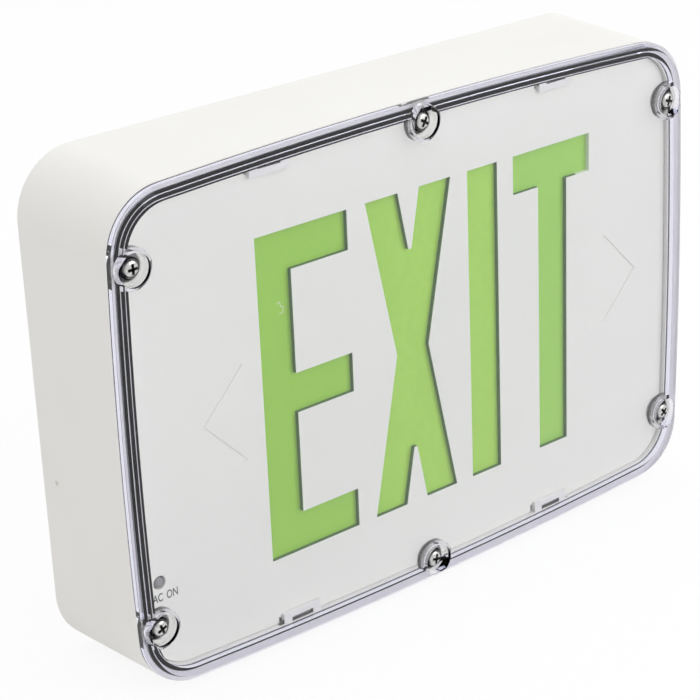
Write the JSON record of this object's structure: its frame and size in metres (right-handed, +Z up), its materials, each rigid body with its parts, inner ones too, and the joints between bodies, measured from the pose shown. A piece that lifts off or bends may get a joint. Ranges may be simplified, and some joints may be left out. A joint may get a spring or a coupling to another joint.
{
  "type": "emergency exit light",
  "caption": "Emergency exit light: shallow white wall case whose stencil face shows EXIT and side arrows in green, under a clear cover sealed and screwed on at its rim.",
  "frame": {"origin": "middle of the two box screw holes on the flat back face, in the middle of the case", "axes": "+X along the word from E to T, +Y out of the flat back into the wall, +Z up; the face looks towards -Y"},
  "size_m": [0.3368, 0.069, 0.2336],
  "materials": {
    "white_case": "satin",
    "white_face": "satin",
    "white_reflector": "gloss",
    "clear_cover": "clear gloss",
    "black_rubber": "matt",
    "green_panel": "satin",
    "steel": "satin",
    "brass": "turned",
    "white_board": "satin",
    "green_board": "satin",
    "led_lens": "diffused",
    "black_plastic": "satin",
    "core_steel": "varnished laminations",
    "coil_tape": "wound tape",
    "capacitor_sleeve": "gloss",
    "natural_plastic": "satin",
    "cell_case": "satin",
    "sleeve_film": "shrunk film",
    "red_insulation": "satin",
    "black_insulation": "satin",
    "white_insulation": "satin",
    "led_wire": "tinned"
  },
  "bodies": {
    "root": {"back_housing": "white_case", "wall_gasket": "black_rubber", "entry_grommet": "black_rubber", "cover_gasket": "black_rubber", "clear_cover": "clear_cover", "screw_inserts": "brass", "screw_seals": "black_rubber", "cover_screws": "steel", "faceplate": "white_face", "green_diffuser": "green_panel", "light_box": "white_reflector", "light_box_screws": "steel", "led_board_upper": "white_board", "led_board_lower": "white_board", "strip_leds": "led_lens", "ac_on_led": "led_lens", "led_holder": "black_plastic", "charger_board": "green_board", "board_screws": "steel", "transformer_core": "core_steel", "transformer_coil": "coil_tape", "board_capacitors": "capacitor_sleeve", "board_plugs": "natural_plastic", "battery_cells": "cell_case", "battery_sleeve": "sleeve_film", "battery_strap": "steel", "strap_screws": "steel", "battery_lead_red": "red_insulation", "battery_lead_black": "black_insulation", "supply_lead_black": "black_insulation", "supply_lead_white": "white_insulation", "strip_leads": "white_insulation", "indicator_leads": "led_wire"}
  },
  "joints": []
}
